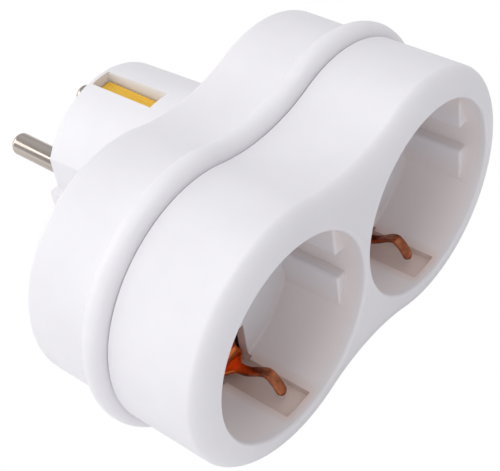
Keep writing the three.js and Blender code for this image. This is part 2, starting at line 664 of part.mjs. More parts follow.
// The plug's earth bow: a cross strip inside the plug, and a narrower contact strip in each channel.
function earthBow() {
  const low = CHANNEL_FLOOR + GAP;
  const high = low + METAL;
  const shoulder = PLUG_HOLLOW_HEIGHT - GAP;
  const cross = box([-BOW_HALF_WIDTH, BOW_Y, -shoulder], [BOW_HALF_WIDTH, BOW_Y + METAL, shoulder]);
  const neck = box([-BOW_STRIP_HALF, BOW_Y, -high], [BOW_STRIP_HALF, BOW_Y + METAL, high]);
  const strips = SIDES.map((end) => box(
    [-BOW_STRIP_HALF, BOW_Y, Math.min(end * low, end * high)],
    [BOW_STRIP_HALF, -CHANNEL_LIP - GAP, Math.max(end * low, end * high)],
  ));
  const hole = rod(0, -BOW_RIVET_OFFSET, RIVET_RADIUS + GAP, BOW_Y - 1, BOW_Y + METAL + 1);
  return cut(joined([cross, neck, ...strips]), [hole]);
}

// Housing screw: slotted cheese head sunk in the rear face, shank into the front shell's boss.
function housingScrew() {
  const under = REAR_FACE_Y - SCREW_SINK + GAP;
  const tip = behindFront(FLOOR_BACK + SCREW_TIP_GAP);
  const body = turned([
    [0, tip],
    [SCREW_RADIUS, tip],
    [SCREW_RADIUS, under],
    [SCREW_HEAD_RADIUS, under],
    [SCREW_HEAD_RADIUS, under + SCREW_HEAD_HEIGHT],
    [0, under + SCREW_HEAD_HEIGHT],
  ]);
  const slot = box(
    [-SCREW_HEAD_RADIUS - 1, under + SCREW_HEAD_HEIGHT - SCREW_SLOT_DEPTH, -SCREW_SLOT_WIDTH / 2],
    [SCREW_HEAD_RADIUS + 1, under + SCREW_HEAD_HEIGHT + 1, SCREW_SLOT_WIDTH / 2],
  );
  return cut(body, [slot]);
}

const adapter = new THREE.Group();

// Adds a solid to the adapter as a named mesh and returns the mesh, so that it can be placed.
function addPart(name, body, look) {
  const mesh = new THREE.Mesh(geometryOf(body), new THREE.MeshStandardMaterial(look));
  mesh.name = name;
  adapter.add(mesh);
  return mesh;
}

addPart('front_shell', frontShell(), white);
addPart('rear_shell', rearShell(), white);

// Each line joins one plug pin with one hole of each socket; the second is the first turned half round about Y.
const LINES = [
  { name: 'line', turn: 0 },
  { name: 'neutral', turn: Math.PI },
];
const LINE_CONTACTS = [HOLE_X[0], HOLE_X[2]];

function place(mesh, turn) {
  mesh.rotation.y = turn;
  return mesh;
}

LINES.forEach(({ name, turn }) => {
  place(addPart(`pin_${name}`, plugPin(-PIN_X), nickel), turn);
  place(addPart(`${name}_busbar`, busbar(LINE_CONTACTS, -PIN_X), brass), turn);
  ['outer', 'inner'].forEach((spot, index) => {
    const x = LINE_CONTACTS[index];
    place(addPart(`${name}_contact_${spot}`, socketContact(x, -PIN_X), brass), turn);
    const fastener = rivet(RIVET_GRIP).rotate([90, 0, 0]);
    const seated = fastener.translate([
      rivetX(x, -PIN_X), behindFront(RIVET_DEPTH), BUSBAR_OFFSET - GAP - METAL,
    ]);
    place(addPart(`${name}_rivet_${spot}`, seated, brass), turn);
  });
});

SIDES.forEach((well, index) => {
  const side = ['left', 'right'][index];
  const bracket = addPart(`earth_bracket_${side}`, earthBracket(), copper);
  bracket.position.x = well * WELL_X;
  const link = addPart(`earth_rivet_${side}`, rivet(RIVET_GRIP), brass);
  link.position.set(well * WELL_X, behindFront(BRACKET_DEPTH), -LINK_OFFSET);
  const screw = addPart(`housing_screw_${side}`, housingScrew(), steel);
  screw.position.x = well * SCREW_X;
});

addPart('earth_link', earthLink(), brass);
addPart('earth_bow', earthBow(), brass);
const bowRivet = addPart('bow_rivet', rivet(RIVET_GRIP), brass);
bowRivet.position.set(0, BOW_Y - GAP - METAL, -BOW_RIVET_OFFSET);

export default adapter;
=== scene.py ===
"""Looks of the double socket adapter: high-detail meshes, procedural materials, light and camera."""
import json
import math

import bmesh
import bpy
from mathutils import Matrix, Vector

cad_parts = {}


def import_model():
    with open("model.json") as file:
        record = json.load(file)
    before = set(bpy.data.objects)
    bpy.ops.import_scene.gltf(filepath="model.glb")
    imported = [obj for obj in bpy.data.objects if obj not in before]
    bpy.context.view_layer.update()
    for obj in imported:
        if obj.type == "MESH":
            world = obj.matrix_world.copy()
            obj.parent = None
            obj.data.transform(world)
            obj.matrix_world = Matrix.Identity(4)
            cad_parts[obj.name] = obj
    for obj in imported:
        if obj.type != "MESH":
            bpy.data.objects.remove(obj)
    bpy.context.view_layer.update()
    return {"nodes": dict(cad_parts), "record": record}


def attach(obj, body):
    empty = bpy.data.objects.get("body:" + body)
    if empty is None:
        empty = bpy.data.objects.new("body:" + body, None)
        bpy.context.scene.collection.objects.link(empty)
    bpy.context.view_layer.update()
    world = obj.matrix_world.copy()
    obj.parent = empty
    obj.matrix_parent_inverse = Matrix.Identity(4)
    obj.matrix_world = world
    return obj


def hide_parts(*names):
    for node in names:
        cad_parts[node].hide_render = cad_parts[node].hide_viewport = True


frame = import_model()

# Lengths below are in millimetres, as in the frame's source; meshes are scaled to metres when they are made.
MM = 0.001

# Housing outline.
LOBE_X = 20.3
LOBE_RADIUS = 25.4
WAIST_INSET = 3.4
HOUSING_DEPTH = 40.2
PLUG_PROJECTION = 23.0
SEAM_DEPTH = 20.0
SEAM_GAP = 0.3
SHELL_WALL = 2.2
LAP_THICKNESS = 1.0
LAP_LENGTH = 2.2
FRONT_EDGE_WIDTH = 7.0
FRONT_EDGE_DEPTH = 3.0
SEAM_EDGE = 0.25
SEAM_LINE = 0.1
REAR_EDGE = 1.0
REAR_TAPER = 0.3

# Bead around the rear shell.
BEAD_DEPTH = 22.75
BEAD_FLANK = 2.35
BEAD_STAND_OUT = 2.17
BEAD_FILLET = 0.7

# Socket wells.
WELL_X = 20.5
WELL_RADIUS = 19.65
WELL_DEPTH = 17.5
WELL_FLOOR = 2.0
WELL_WALL = 2.0
MOUTH_ROUND = 0.7
FLOOR_FILLET = 0.5
RIB_CHORD = 17.0
RIB_SLOT_HALF = 2.9
RIB_START = 4.5
RIB_EDGE = 0.55
CLIP_SLOT_HALF = 3.4
CLIP_SLOT_CUT = 1.1
CLIP_SLOT_START = 2.3
WINDOW_HALF = 4.2
WINDOW_FROM = 11.0

# Pins, pin holes and plug body.
PIN_X = 9.5
PIN_RADIUS = 2.4
PIN_LENGTH = 19.0
PIN_TIP = 1.2
PIN_CLEARANCE = 0.12
PIN_HOLE_RADIUS = 3.0
PIN_HOLE_EDGE = 0.35
PLUG_ROOT_RADIUS = 19.1
PLUG_FACE_RADIUS = 18.25
PLUG_FACE_EDGE = 0.5
PLUG_FLAT = 16.15
KEY_HALF = 2.1
PLUG_WALL = 2.2
PLUG_FACE_WALL = 3.0
CHANNEL_FLOOR = 15.2
CHANNEL_HALF = 2.0
CHANNEL_LIP = 1.1
CHANNEL_DRAFT = 0.1
CHANNEL_FLARE = 0.9
CHANNEL_FLARE_HEIGHT = 2.3
BOW_STRIP_HALF = 1.7
BOW_DEPTH = 6.6
BOW_EDGE = 0.18
CROSS_INSET = 0.1
CROSS_SETBACK = 0.02
CROSS_OVERLAP = 0.4

# Housing screws.
SCREW_X = 39.2
SCREW_HEAD_RADIUS = 3.0
SCREW_SINK = 3.0
SCREW_RADIUS = 1.5
SCREW_HEAD_HEIGHT = 1.8
SCREW_HEAD_EDGE = 0.35
SCREW_SLOT_WIDTH = 0.9
SCREW_SLOT_DEPTH = 0.8
SCREW_TIP_GAP = 2.0
SCREW_CLEARANCE = 0.3
SCREW_SEAT_WALL = 1.8
SCREW_SEAT_DEPTH = 1.5

# Earth brackets.
METAL = 0.8
BRACKET_HALF_WIDTH = 3.8
ARM_HALF_WIDTH = 1.15
ARM_ROOT = 18.6
ARM_START_DEPTH = 17.6
ARM_RISE_DEPTH = 13.8
ARM_RISE = 0.9
HUMP_INNER = 14.6
HUMP_DEPTH = 9.3
NOSE_DEPTH = 5.4
NOSE_OUT = 18.9
NOSE_END_BACK = 0.1
NOSE_END_INSIDE = 0.2
NOSE_BLUNTNESS = 0.25
FOOT_STRAIGHT = 8.0
FOOT_TAPER_FRONT = 1.6
FOOT_TAPER_BACK = 1.4
STRIP_EDGE_SHARE = 0.42
FLUTES = 2
FLUTE_DEPTH = 0.22
FLUTE_FULL = 1.5
FLUTE_END = 4.0
RIVET_OFFSET = 13.5
RIVET_HOLE_RADIUS = 0.8
RIVET_HOLE_REACH = 3.0

# The bend from foot to arm: how far each of its points lies in front of the foot and inside the arm.
FOOT_BEND = ((0.0, 2.0), (0.3, 0.7), (1.2, 0.05))

# How far a cutting or joining body reaches past the face that it meets.
BOOLEAN_REACH = 1.0

# Depth at which the pin holes and the front shell's hollow are cut off, past the end of the lap.
HOLE_BACK = SEAM_DEPTH + 5.0

# Depth of the point that the camera and the lamps are aimed at.
AIM_DEPTH = 20.0

# Steps around curves.
LOBE_STEPS = 120
WAIST_STEPS = 60
ROUND_STEPS = 160
SMALL_STEPS = 64
PIN_STEPS = 96
ARM_STEPS = 12

FRONT_Y = -(HOUSING_DEPTH + PLUG_PROJECTION)
REAR_FACE_Y = -PLUG_PROJECTION
FLOOR_BACK = WELL_DEPTH + WELL_FLOOR
WAIST_HEIGHT = LOBE_RADIUS - WAIST_INSET
WAIST_RADIUS = (LOBE_X ** 2 + WAIST_HEIGHT ** 2 - LOBE_RADIUS ** 2) / (2 * WAIST_INSET)
SIDES = (-1, 1)
HOLE_X = [well * WELL_X + side * PIN_X for well in SIDES for side in SIDES]
SHARP_ANGLE = math.radians(32)
BRACKET_SHARP_ANGLE = math.radians(50)
MERGE_DISTANCE = 0.002 * MM
SAME_PLACE = 0.01


def behind_front(depth):
    """Y of a plane so far behind the front face."""
    return FRONT_Y + depth


def arc(x, y, radius, start, end, steps):
    """Points along an arc, both ends included."""
    angles = [start + (end - start) * step / steps for step in range(steps + 1)]
    return [(x + radius * math.cos(a), y + radius * math.sin(a)) for a in angles]


def outline(radius):
    """Front outline of the housing at a lobe radius, as (x, z) points: two lobes, two hollow waists."""
    blend = WAIST_RADIUS + LOBE_RADIUS - radius
    waist = WAIST_HEIGHT + WAIST_RADIUS
    lean = math.atan2(waist, -LOBE_X)
    turn = math.pi
    return (
        arc(LOBE_X, 0, radius, -lean, lean, LOBE_STEPS)
        + arc(0, waist, blend, turn + lean, 2 * turn - lean, WAIST_STEPS)[1:-1]
        + arc(-LOBE_X, 0, radius, turn - lean, turn + lean, LOBE_STEPS)
        + arc(0, -waist, blend, lean, turn - lean, WAIST_STEPS)[1:-1]
    )


# Solids

def object_from(name, mesh_builder):
    """A new object whose mesh is built in millimetres by mesh_builder(bm) and stored in metres."""
    bm = bmesh.new()
    mesh_builder(bm)
    bmesh.ops.recalc_face_normals(bm, faces=bm.faces)
    bmesh.ops.scale(bm, vec=(MM, MM, MM), verts=bm.verts)
    mesh = bpy.data.meshes.new(name)
    bm.to_mesh(mesh)
    bm.free()
    piece = bpy.data.objects.new(name, mesh)
    bpy.context.scene.collection.objects.link(piece)
    return piece


def loft(name, rings):
    """A closed body through rings of (x, y, z) points with equal counts."""
    def build(bm):
        rows = [[bm.verts.new(point) for point in ring] for ring in rings]
        count = len(rows[0])
        for low, high in zip(rows, rows[1:]):
            for index in range(count):
                after = (index + 1) % count
                bm.faces.new((low[index], low[after], high[after], high[index]))
        bm.faces.new(list(reversed(rows[0])))
        bm.faces.new(rows[-1])
    return object_from(name, build)


def prism(name, points, start, end):
    """A body between two Y planes with an (x, z) outline."""
    return loft(name, [[(x, y, z) for x, z in points] for y in (start, end)])


def turned(name, profile, x=0.0, z=0.0, steps=SMALL_STEPS):
    """A body turned about the Y axis through (x, z), from (radius, y) points that end on the axis."""
    def build(bm):
        first = bm.verts.new((x, profile[0][1], z))
        last = bm.verts.new((x, profile[-1][1], z))
        angles = [2 * math.pi * step / steps for step in range(steps)]
        rows = [
            [bm.verts.new((x + radius * math.cos(a), y, z + radius * math.sin(a))) for a in angles]
            for radius, y in profile[1:-1]
        ]
        for index in range(steps):
            after = (index + 1) % steps
            bm.faces.new((first, rows[0][index], rows[0][after]))
            bm.faces.new((last, rows[-1][after], rows[-1][index]))
            for low, high in zip(rows, rows[1:]):
                bm.faces.new((low[index], high[index], high[after], low[after]))
    return object_from(name, build)


def rod(name, x, z, radius, start, end, steps=SMALL_STEPS):
    """A round bar along Y."""
    return turned(name, [(0, start), (radius, start), (radius, end), (0, end)], x, z, steps)


def block(name, low, high):
    """A box between two corners."""
    points = [(low[0], low[2]), (high[0], low[2]), (high[0], high[2]), (low[0], high[2])]
    return prism(name, points, low[1], high[1])


def combine(piece, others, operation):
    """Joins or cuts a body with others, which are used up."""
    for other in others:
        modifier = piece.modifiers.new("combine", "BOOLEAN")
        modifier.operation = operation
        modifier.solver = "MANIFOLD"
        modifier.object = other
    bpy.context.view_layer.update()
    shape = piece.evaluated_get(bpy.context.evaluated_depsgraph_get())
    mesh = bpy.data.meshes.new_from_object(shape)
    piece.modifiers.clear()
    piece.data = mesh
    for other in others:
        bpy.data.objects.remove(other)
    return piece


def join(piece, *others):
    return combine(piece, others, "UNION")


def cut(piece, *others):
    return combine(piece, others, "DIFFERENCE")


def mirrored(piece, axis):
    """The body turned into its mirror image across the plane X = 0 or Z = 0 of the frame."""
    scale = Vector((1, 1, 1))
    scale["XYZ".index(axis)] = -1
    piece.data.transform(Matrix.Diagonal((*scale, 1)))
    piece.data.flip_normals()
    return piece


def moved(piece, x):
    """The body moved along X."""
    piece.data.transform(Matrix.Translation((x * MM, 0, 0)))
    return piece


def smooth(piece, angle=SHARP_ANGLE):
    """Smooth shading that keeps edges sharper than the angle, with normals weighted by face area."""
    bm = bmesh.new()
    bm.from_mesh(piece.data)
    bmesh.ops.remove_doubles(bm, verts=bm.verts, dist=MERGE_DISTANCE)
    bmesh.ops.dissolve_degenerate(bm, edges=bm.edges, dist=MERGE_DISTANCE)
    for face in bm.faces:
        face.smooth = True
    for edge in bm.edges:
        edge.smooth = len(edge.link_faces) == 2 and edge.calc_face_angle(0) < angle
    bm.to_mesh(piece.data)
    bm.free()
    weighted = piece.modifiers.new("normals", "WEIGHTED_NORMAL")
    weighted.keep_sharp = True
    weighted.weight = 60
    return piece


def finished(piece, nodes, material):
    """Gives a piece its place in the frame and its material, and hides the CAD nodes that it stands for."""
    piece.data.materials.clear()
    piece.data.materials.append(material)
    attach(piece, "root")
    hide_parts(*nodes)
    return piece


# Front shell

def front_form():
    """Outside of the front shell: wide soft front edge, straight side, fine edge at the seam."""
    steps = 16
    sections = []
    for step in range(steps + 1):
        turn = math.pi / 2 * step / steps
        inset = FRONT_EDGE_WIDTH * (1 - math.sin(turn))
        sections.append((LOBE_RADIUS - inset, FRONT_EDGE_DEPTH * (1 - math.cos(turn))))
    end = SEAM_DEPTH + SEAM_GAP - SEAM_LINE
    sections.append((LOBE_RADIUS, end - SEAM_EDGE))
    sections += rounded_end(LOBE_RADIUS, end, SEAM_EDGE)
    return housing_loft("front_form", sections)


def rounded_end(radius, depth, edge, steps=4):
    """Sections (radius, depth) of a quarter round that ends at a depth."""
    turns = [math.pi / 2 * step / steps for step in range(1, steps + 1)]
    return [(radius - edge * (1 - math.cos(t)), depth - edge * (1 - math.sin(t))) for t in turns]


def housing_loft(name, sections):
    """A body through housing outlines of (lobe radius, depth behind the front face)."""
    rings = [[(x, behind_front(depth), z) for x, z in outline(radius)] for radius, depth in sections]
    return loft(name, rings)


def well_space(x):
    """Empty space of one well, with a rounded mouth and a small fillet around the floor."""
    mouth = behind_front(0)
    floor = behind_front(WELL_DEPTH)
    rim = arc(WELL_RADIUS + MOUTH_ROUND, mouth + MOUTH_ROUND, MOUTH_ROUND, 1.5 * math.pi, math.pi, steps=8)
    corner = arc(WELL_RADIUS - FLOOR_FILLET, floor - FLOOR_FILLET, FLOOR_FILLET, 0, math.pi / 2, steps=5)
    outside = [(0, mouth - BOOLEAN_REACH), (WELL_RADIUS + MOUTH_ROUND, mouth - BOOLEAN_REACH)]
    return turned("well", outside + rim + corner + [(0, floor)], x, 0, ROUND_STEPS)


def guide_rib():
    """One guide rib at +X and +Z: the well beyond a chord, with rounded edges where it stands free."""
    reach = WELL_RADIUS + WELL_WALL / 2
    low = math.asin(RIB_SLOT_HALF / reach)
    high = math.acos(RIB_CHORD / reach)
    start = behind_front(RIB_START)
    end = behind_front(WELL_DEPTH) + WELL_FLOOR / 2
    points = arc(0, 0, reach, low, high, steps=16) + [(RIB_CHORD, RIB_SLOT_HALF)]
    rib = prism("rib", points, start, end)
    bm = bmesh.new()
    bm.from_mesh(rib.data)

    def stands_free(edge):
        places = [vert.co / MM for vert in edge.verts]
        at_front = all(abs(p.y - start) < SAME_PLACE for p in places)
        on_chord = all(abs(p.x - RIB_CHORD) < SAME_PLACE for p in places)
        on_slot = all(abs(p.z - RIB_SLOT_HALF) < SAME_PLACE for p in places)
        return (at_front and (on_chord or on_slot)) or (on_chord and on_slot)

    bmesh.ops.bevel(
        bm, geom=[edge for edge in bm.edges if stands_free(edge)], offset=RIB_EDGE * MM, segments=6,
        profile=0.5, affect="EDGES",
    )
    bm.to_mesh(rib.data)
    bm.free()
    return rib


def guide_ribs():
    """The four guide ribs of each well."""
    ribs = []
    for well in SIDES:
        for side in SIDES:
            for end in SIDES:
                rib = guide_rib()
                if side < 0:
                    mirrored(rib, "X")
                if end < 0:
                    mirrored(rib, "Z")
                ribs.append(moved(rib, well * WELL_X))
    return ribs


def clip_cuts():
    """Shallow slot in the wall and window in the floor for each earth arm."""
    top = WELL_RADIUS + CLIP_SLOT_CUT
    corner = math.sqrt(WELL_RADIUS ** 2 - WINDOW_HALF ** 2)
    slot = [
        (-CLIP_SLOT_HALF, WELL_RADIUS - WELL_WALL), (CLIP_SLOT_HALF, WELL_RADIUS - WELL_WALL),
        (CLIP_SLOT_HALF, top), (-CLIP_SLOT_HALF, top),
    ]
    window = [
        (-WINDOW_HALF, WINDOW_FROM), (WINDOW_HALF, WINDOW_FROM), (WINDOW_HALF, corner),
        (CLIP_SLOT_HALF, top), (-CLIP_SLOT_HALF, top), (-WINDOW_HALF, corner),
    ]
    cutters = []
    for well in SIDES:
        for end in SIDES:
            spans = (
                (slot, behind_front(CLIP_SLOT_START), behind_front(WELL_DEPTH)),
                (window, behind_front(WELL_DEPTH) - BOOLEAN_REACH, behind_front(FLOOR_BACK) + BOOLEAN_REACH),
            )
            for points, start, finish in spans:
                cutter = prism("clip_cut", points, start, finish)
                if end < 0:
                    mirrored(cutter, "Z")
                cutters.append(moved(cutter, well * WELL_X))
    return cutters


def pin_hole(x):
    """Pin hole with a small lead-in."""
    floor = behind_front(WELL_DEPTH)
    flare = PIN_HOLE_RADIUS + PIN_HOLE_EDGE
    profile = [
        (0, floor - BOOLEAN_REACH), (flare, floor - BOOLEAN_REACH), (flare, floor),
        (PIN_HOLE_RADIUS, floor + PIN_HOLE_EDGE), (PIN_HOLE_RADIUS, behind_front(HOLE_BACK)),
        (0, behind_front(HOLE_BACK)),
    ]
    return turned("pin_hole", profile, x)


def front_shell(material):
    """Front shell: outside, lap, two wells with their ribs and clip cuts, and four pin holes."""
    form = front_form()
    lap = prism("lap", outline(LOBE_RADIUS - SHELL_WALL + LAP_THICKNESS),
                behind_front(SEAM_DEPTH - BOOLEAN_REACH), behind_front(SEAM_DEPTH + LAP_LENGTH))
    core = prism("core", outline(LOBE_RADIUS - SHELL_WALL), behind_front(SHELL_WALL + FRONT_EDGE_DEPTH),
                 behind_front(HOLE_BACK))
    cups = [
        rod("cup", well * WELL_X, 0, WELL_RADIUS + WELL_WALL, behind_front(FRONT_EDGE_DEPTH),
            behind_front(FLOOR_BACK), ROUND_STEPS)
        for well in SIDES
    ]
    wells = [well_space(well * WELL_X) for well in SIDES]
    shell = join(form, lap)
    shell = cut(shell, core)
    shell = join(shell, *cups)
    shell = cut(shell, *wells)
    shell = join(shell, *guide_ribs())
    shell = cut(shell, *clip_cuts(), *[pin_hole(x) for x in HOLE_X])
    shell.name = "front_shell_looks"
    return finished(smooth(shell), ["front_shell"], material)


# Rear shell

def rear_form():
    """Outside of the rear shell: a bead that starts at the seam, a fillet behind it, rounded rear edge."""
    base = LOBE_RADIUS - REAR_TAPER
    crest = LOBE_RADIUS + BEAD_STAND_OUT
    seam = SEAM_DEPTH + SEAM_GAP
    steps = 14
    sections = [(LOBE_RADIUS - SEAM_EDGE, seam)]
    for step in range(steps + 1):
        turn = math.pi / 2 * step / steps
        stand_out = BEAD_STAND_OUT * math.sin(turn)
        sections.append((LOBE_RADIUS + stand_out, BEAD_DEPTH - BEAD_FLANK * math.cos(turn)))
    drop = crest - base - BEAD_FILLET
    for step in range(1, steps + 1):
        turn = math.pi / 2 * step / steps
        sections.append((crest - drop * (1 - math.cos(turn)), BEAD_DEPTH + BEAD_FLANK * math.sin(turn)))
    fillet_steps = 6
    for step in range(1, fillet_steps + 1):
        turn = math.pi / 2 * step / fillet_steps
        sections.append((
            base + BEAD_FILLET * (1 - math.sin(turn)),
            BEAD_DEPTH + BEAD_FLANK + BEAD_FILLET * (1 - math.cos(turn)),
        ))
    sections.append((base, HOUSING_DEPTH - REAR_EDGE))
    sections += rounded_end(base, HOUSING_DEPTH, REAR_EDGE, steps=8)
    return housing_loft("rear_form", sections)


def plug_section(radius, inset):
    """Cross-section of the plug body: disc with two side flats and a key in the middle of each."""
    flat = PLUG_FLAT - inset
    key = KEY_HALF - inset
    round_radius = radius - inset
    top = math.acos(flat / round_radius)
    edge = math.asin(key / round_radius)
    points = arc(0, 0, round_radius, top, math.pi - top, steps=60)
    points += [(-flat, key)]
    points += arc(0, 0, round_radius, math.pi - edge, math.pi + edge, steps=6)
    points += [(-flat, -key)]
    points += arc(0, 0, round_radius, math.pi + top, 2 * math.pi - top, steps=60)
    points += [(flat, -key)]
    points += arc(0, 0, round_radius, -edge, edge, steps=6)
    points += [(flat, key)]
    return points


def plug_form():
    """Plug body: even inside the housing, tapered to the engagement face, with a rounded edge there."""
    sections = [(PLUG_ROOT_RADIUS, 0, REAR_FACE_Y - BOOLEAN_REACH), (PLUG_ROOT_RADIUS, 0, REAR_FACE_Y)]
    steps = 6
    for step in range(steps + 1):
        turn = math.pi / 2 * step / steps
        inset = PLUG_FACE_EDGE * (1 - math.cos(turn))
        sections.append((PLUG_FACE_RADIUS, inset, -PLUG_FACE_EDGE * (1 - math.sin(turn))))
    rings = [[(x, y, z) for x, z in plug_section(radius, inset)] for radius, inset, y in sections]
    return loft("plug_form", rings)


def channel_cut(end):
    """Earth channel with softly flared edges along the top or bottom of the plug, with a lip at the face."""
    top = PLUG_ROOT_RADIUS + BOOLEAN_REACH
    shoulder = CHANNEL_FLOOR + CHANNEL_FLARE_HEIGHT
    half_top = CHANNEL_HALF + CHANNEL_FLARE
    right = [(CHANNEL_HALF, CHANNEL_FLOOR), (CHANNEL_HALF + CHANNEL_DRAFT, shoulder), (half_top, top)]
    left = [(-x, z) for x, z in reversed(right)]
    cutter = prism("channel", left + right, REAR_FACE_Y + BOW_DEPTH - SEAM_GAP, -CHANNEL_LIP)
    return mirrored(cutter, "Z") if end < 0 else cutter


def rear_shell(material):
    """Rear shell: outside with the bead, plug body with its channels, pin bores and sunk screw seats."""
    inner = LOBE_RADIUS - REAR_TAPER - SHELL_WALL
    seam = behind_front(SEAM_DEPTH + SEAM_GAP)
    ahead = seam - 2 * BOOLEAN_REACH
    back_wall = behind_front(HOUSING_DEPTH - SHELL_WALL)
    hollow = prism("hollow", outline(inner), ahead, back_wall)
    lap_outline = outline(LOBE_RADIUS - SHELL_WALL + LAP_THICKNESS + SEAM_GAP)
    lap_space = prism("lap_space", lap_outline, ahead, seam + LAP_LENGTH)
    plug_hollow = rod("plug_hollow", 0, 0, PLUG_FLAT - PLUG_WALL, back_wall - BOOLEAN_REACH, -PLUG_FACE_WALL,
                      ROUND_STEPS)
    bore_start = -PLUG_FACE_WALL - BOOLEAN_REACH
    pin_bores = [
        rod("bore", side * PIN_X, 0, PIN_RADIUS + PIN_CLEARANCE, bore_start, BOOLEAN_REACH)
        for side in SIDES
    ]
    screw_wells = [
        rod("screw_well", side * SCREW_X, 0, SCREW_HEAD_RADIUS + SCREW_CLEARANCE, REAR_FACE_Y - SCREW_SINK,
            REAR_FACE_Y + BOOLEAN_REACH)
        for side in SIDES
    ]
    screw_seats = [
        rod("screw_seat", side * SCREW_X, 0, SCREW_HEAD_RADIUS + SCREW_SEAT_WALL,
            REAR_FACE_Y - SCREW_SINK - SCREW_SEAT_DEPTH, REAR_FACE_Y - SHELL_WALL / 2)
        for side in SIDES
    ]
    shell = join(rear_form(), plug_form())
    shell = cut(shell, hollow, lap_space, plug_hollow)
    shell = join(shell, *screw_seats)
    shell = cut(shell, *pin_bores, *screw_wells, *[channel_cut(end) for end in SIDES])
    shell.name = "rear_shell_looks"
    return finished(smooth(shell), ["rear_shell"], material)


# Metal parts

def plug_pin(side, node, material):
    """Plug pin with a well-rounded tip, seen in front of the engagement face."""
    tip = arc(PIN_RADIUS - PIN_TIP, PIN_LENGTH - PIN_TIP, PIN_TIP, 0, math.pi / 2, steps=14)
    profile = [(0, -PLUG_FACE_WALL), (PIN_RADIUS, -PLUG_FACE_WALL), *tip, (0, PIN_LENGTH)]
    pin = turned(f"{node}_looks", profile, side * PIN_X, 0, PIN_STEPS)
    return finished(smooth(pin), [node], material)


def smooth_step(value, low, high):
    """0 below a low value, 1 above a high one, with a soft change between them."""
    share = min(max((value - low) / (high - low), 0), 1)
    return share * share * (3 - 2 * share)


def catmull_value(a, b, c, d, t):
    """One coordinate at a share t of the way from b to c, on a curve past a and d."""
    square = (2 * a - 5 * b + 4 * c - d) * t * t
    cube = (3 * b - a - 3 * c + d) * t ** 3
    return 0.5 * (2 * b + (c - a) * t + square + cube)


def catmull(points, steps):
    """A smooth line through (y, z) points."""
    line = []
    padded = [points[0], *points, points[-1]]
    for p0, p1, p2, p3 in zip(padded, padded[1:], padded[2:], padded[3:]):
        for step in range(steps):
            t = step / steps
            line.append(tuple(catmull_value(*values, t) for values in zip(p0, p1, p2, p3)))
    line.append(points[-1])
    return line


def bracket_line():
    """Side view of the earth bracket from the middle of the foot strip to the upper nose, as (y, z)."""
    foot = behind_front(FLOOR_BACK + SEAM_GAP) + METAL / 2
    hump = HUMP_INNER + METAL / 2
    return catmull([
        (foot, 0), (foot, FOOT_STRAIGHT),
        *[(foot - ahead, ARM_ROOT - inside) for ahead, inside in FOOT_BEND],
        (behind_front(ARM_START_DEPTH), ARM_ROOT),
        (behind_front(ARM_RISE_DEPTH), ARM_ROOT - ARM_RISE),
        (behind_front(HUMP_DEPTH), hump),
        (behind_front((HUMP_DEPTH + NOSE_DEPTH) / 2), hump + METAL),
        (behind_front(NOSE_DEPTH + NOSE_END_BACK), NOSE_OUT - NOSE_END_INSIDE),
    ], ARM_STEPS)


def strip_section(half_width, thickness, flute):
    """Rounded cross-section of the strip as (across, above), with flutes of a depth on its inner side."""
    edge = thickness * STRIP_EDGE_SHARE
    corner_steps = 4
    half = thickness / 2
    points = []
    corners = ((1, 1, 0), (-1, 1, 1), (-1, -1, 2), (1, -1, 3))
    for across, above, quarter in corners:
        start = quarter * math.pi / 2
        points += arc(
            across * (half_width - edge), above * (half - edge), edge,
            start, start + math.pi / 2, corner_steps,
        )
        if quarter in (0, 2):
            points += strip_flutes(half_width - edge, half, across, above, flute)
    return points


def strip_flutes(reach, half, across, above, flute):
    """Points along one flat side of the strip, between its corners."""
    steps = 24
    points = []
    for step in range(1, steps):
        place = across * reach * (1 - 2 * step / steps)
        groove = flute if above > 0 else 0
        wave = 0.5 - 0.5 * math.cos(2 * math.pi * FLUTES * step / steps)
        points.append((place, above * half - above * groove * wave))
    return points


def earth_bracket(side, node, material):
    """One-piece spring bracket: wide foot strip, tapering arms with a hump and a fluted nose."""
    upper = bracket_line()
    lower = [(y, -z) for y, z in reversed(upper[1:])]
    line = lower + upper
    rings = []
    for index, (y, z) in enumerate(line):
        before = line[max(index - 1, 0)]
        after = line[min(index + 1, len(line) - 1)]
        along = Vector((after[0] - before[0], after[1] - before[1])).normalized()
        inward = Vector((-along.y, along.x))
        depth = y - FRONT_Y
        wide = smooth_step(depth, WELL_DEPTH - FOOT_TAPER_FRONT, WELL_DEPTH + FOOT_TAPER_BACK)
        half_width = ARM_HALF_WIDTH + (BRACKET_HALF_WIDTH - ARM_HALF_WIDTH) * wide
        near_nose = 1 - smooth_step(depth, NOSE_DEPTH + FLUTE_FULL, NOSE_DEPTH + FLUTE_END)
        end = line[0] if index < len(line) / 2 else line[-1]
        rest = min(math.dist((y, z), end) / ARM_HALF_WIDTH, 1)
        round_end = max(math.sqrt(1 - (1 - rest) ** 2), NOSE_BLUNTNESS)
        thickness = METAL * (0.5 + 0.5 * round_end)
        section = strip_section(half_width * round_end, thickness, FLUTE_DEPTH * near_nose)
        ring = []
        for across, above in section:
            ring.append((across, y - inward.x * above, z - inward.y * above))
        rings.append(ring)
    bracket = loft(f"{node}_looks", rings)
    holes = [
        rod("foot_hole", 0, end * RIVET_OFFSET, RIVET_HOLE_RADIUS, behind_front(FLOOR_BACK),
            behind_front(FLOOR_BACK + RIVET_HOLE_REACH))
        for end in SIDES
    ]
    cut(bracket, *holes)
    moved(bracket, side * WELL_X)
    return finished(smooth(bracket, BRACKET_SHARP_ANGLE), [node], material)


